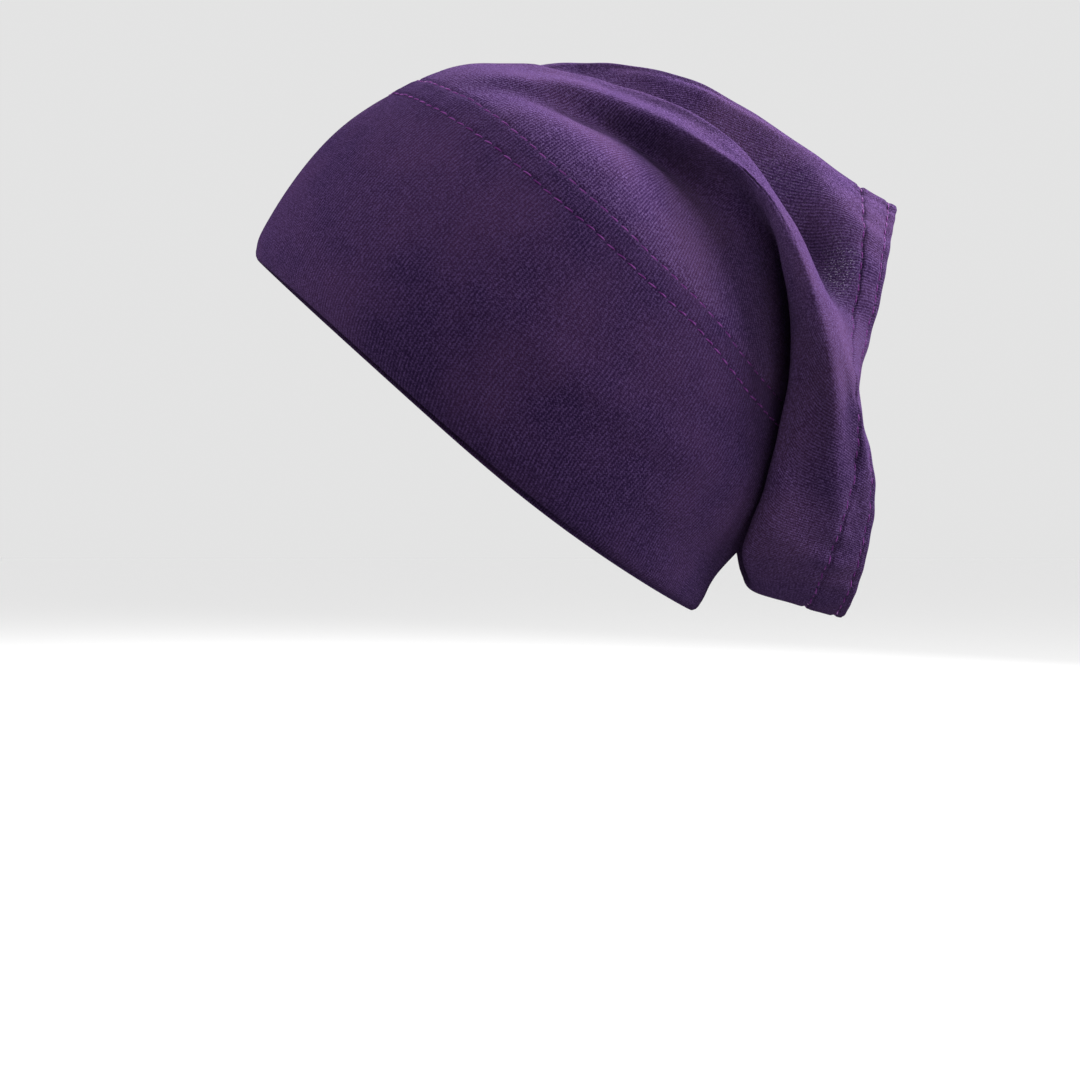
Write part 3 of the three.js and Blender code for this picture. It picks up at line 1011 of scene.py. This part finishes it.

# %% [markdown]
# ## Sewing thread
#
# The thread is spun polyester, a shade redder and lighter than the cloth. Its loose fibres
# leave it almost without gloss. Its twist could be modelled as two thin strands, but that is
# far finer than a pixel. A slanting wave stands for it, with a bump and a painted highlight: a
# second, lighter colour on the crests of the twist. The real twist repeats about every half
# millimetre, too fine to show, so it is drawn about 2 mm long. A wave texture of scale 1
# repeats every 0.628 along an axis.

# %% Thread finish
TWIST = 1.972 * MM
WAVE_REPEAT = 0.628
TWIST_UNEVEN = 0.6
TWIST_DEPTH = 0.06 * MM
TWIST_STRENGTH = 0.5
THREAD_ROUGHNESS = 0.85
THREAD_GLOSS = 0.05


def spun_thread(name, colour, painted_highlight_colour):
    """A twisted thread: its own colour, and a painted highlight in a lighter colour along its twist."""
    material, tree, shader = new_material(name)
    place = add_node(tree, "ShaderNodeTexCoord")
    twist = add_node(tree, "ShaderNodeTexWave",
                     {"Scale": WAVE_REPEAT / TWIST, "Distortion": TWIST_UNEVEN},
                     {"Vector": place.outputs["Object"]}, bands_direction="DIAGONAL")
    bump = add_node(tree, "ShaderNodeBump", {"Strength": TWIST_STRENGTH, "Distance": TWIST_DEPTH},
                    {"Height": twist.outputs["Fac"]})
    # The lighter colour on the crests of the twist is a painted highlight.
    shade = add_node(tree, "ShaderNodeMix", {6: linear(colour), 7: linear(painted_highlight_colour)},
                     {0: twist.outputs["Fac"]}, data_type="RGBA")
    tree.links.new(shade.outputs[2], shader.inputs["Base Color"])
    tree.links.new(bump.outputs["Normal"], shader.inputs["Normal"])
    shader.inputs["Roughness"].default_value = THREAD_ROUGHNESS
    shader.inputs["Specular IOR Level"].default_value = THREAD_GLOSS
    return material


thread_finish = spun_thread("spun_polyester_thread", "#3f1749", "#5e3069")
seam_thread.data.materials.append(thread_finish)
hem_thread.data.materials.append(thread_finish)
print("thread", thread_finish.name)

# %% [markdown]
# ## The floor
#
# The photograph has a plain white ground and no visible floor line. A wide white floor lies
# below the hanging flap. Under the lights it turns plain white, and it fades softly into the
# pale world behind it. A curved backdrop would hide the line as well, but it could show in
# other views. Light thrown back by so white a floor made the underside too bright, so the
# floor throws none.

# %% Floor
FLOOR_DROP = 0.16
FLOOR_SIZE = 30.0
PAPER_ROUGHNESS = 0.9

bpy.ops.mesh.primitive_plane_add(size=FLOOR_SIZE, location=(0, 0, solid_box[0][2] - FLOOR_DROP))
floor = bpy.context.object
floor.name = "studio_floor"
floor_finish, floor_tree, floor_shader = new_material("white_paper_floor")
floor_shader.inputs["Base Color"].default_value = linear("#ffffff")
floor_shader.inputs["Roughness"].default_value = PAPER_ROUGHNESS
floor.data.materials.append(floor_finish)
floor.visible_diffuse = False
print(f"floor {floor.location.z / MM:.0f} mm high")

# %% [markdown]
# ## The lights
#
# In the photograph the top of the roll is bright and the faces towards the camera are dark,
# so the strongest light is high up behind, on the right. One light on each side brings out
# the brow of the band and the lower roll, and a weak one in front keeps the shadows open. Sun
# lamps would draw hard edges, so all four are soft boxes, and a pale world fills in. The
# Standard view keeps colours as they were picked.

# %% Lights
LIGHT_COLUMNS = ("name", "place", "size", "watts")
LIGHTS = [
    ("high_back_softbox", (0.62, 0.52, 0.82), 0.6, 82.0),
    ("brow_side_softbox", (-0.80, 0.05, 0.70), 0.5, 24.0),
    ("front_fill", (0.40, -1.10, -0.20), 0.8, 8.0),
    ("back_side_softbox", (0.95, -0.35, 0.40), 0.5, 18.0),
]
LIT_PLACE = Vector((0.03, 0.0, 0.03))

for name, place, size, watts in LIGHTS:
    toward = LIT_PLACE - Vector(place)
    bpy.ops.object.light_add(type="AREA", location=place,
                             rotation=toward.to_track_quat("-Z", "Y").to_euler())
    light = bpy.context.object
    light.name = name
    light.data.size = size
    light.data.energy = watts
tell("lights", LIGHT_COLUMNS, LIGHTS)

# %% World and view
WORLD_STRENGTH = 0.80

world = bpy.data.worlds.new("pale_studio")
world.use_nodes = True
backdrop = world.node_tree.nodes["Background"]
backdrop.inputs["Color"].default_value = linear("#fbfbfb")
backdrop.inputs["Strength"].default_value = WORLD_STRENGTH
bpy.context.scene.world = world
bpy.context.scene.view_settings.view_transform = "Standard"
print("world", world.name)

for ring, node, finish_slot in ((band, "front_band", "band_jersey"), (tube, "tube_body", "tube_jersey"),
                                (hem, "back_hem", "tube_jersey")):
    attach(ring, "root")
    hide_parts(node)
for thread in (seam_thread, hem_thread):
    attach(thread, "root")
